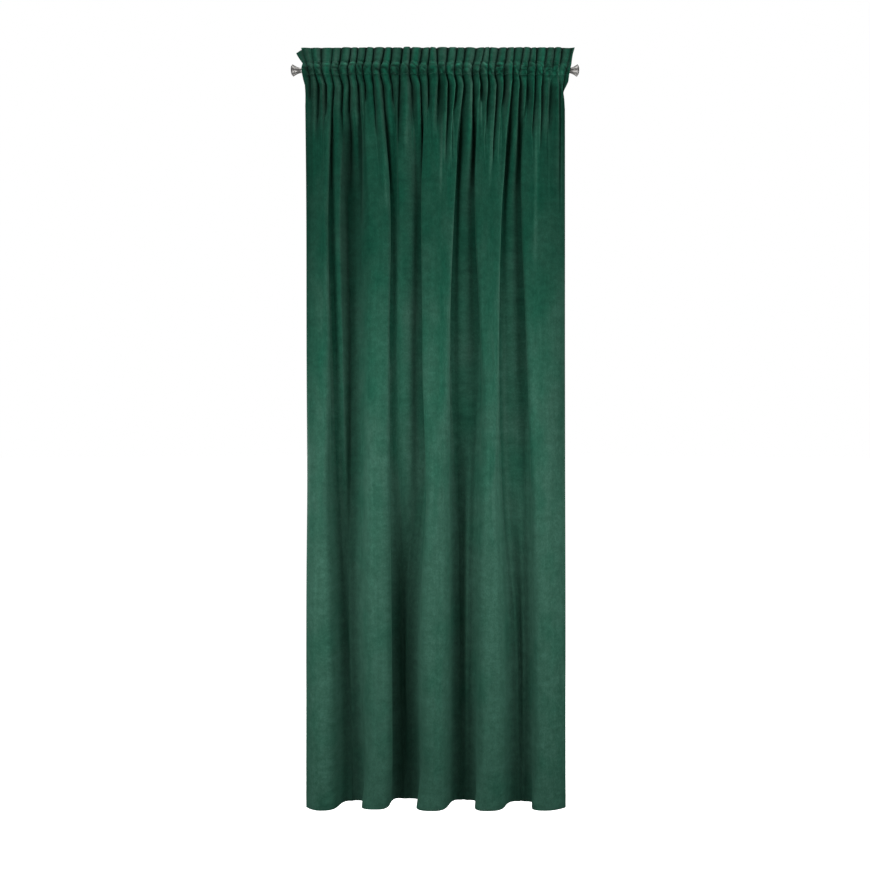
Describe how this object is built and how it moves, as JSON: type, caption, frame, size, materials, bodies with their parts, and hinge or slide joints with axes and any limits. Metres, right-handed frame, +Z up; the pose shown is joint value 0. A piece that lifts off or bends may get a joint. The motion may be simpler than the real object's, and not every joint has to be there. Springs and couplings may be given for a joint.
{
  "type": "velvet rod-pocket curtain panel on a curtain rod",
  "caption": "Velvet curtain panel with a frilled heading, gathered by its rod pocket on a thin round rod with trumpet finials.",
  "frame": {"origin": "on the rod's axis, midway between the two finials", "axes": "+X along the rod to the right as seen from the room, -Y out of the curtain's face into the room, +Z up"},
  "size_m": [1.0302, 0.1132, 2.702],
  "materials": {
    "velvet": "bottle-green cotton-look velvet with a short soft pile",
    "rod_steel": "brushed steel tube",
    "finial_steel": "satin-polished turned steel"
  },
  "bodies": {
    "root": {"curtain_panel": "velvet", "rod": "rod_steel", "finial_left": "finial_steel", "finial_right": "finial_steel"}
  },
  "joints": []
}
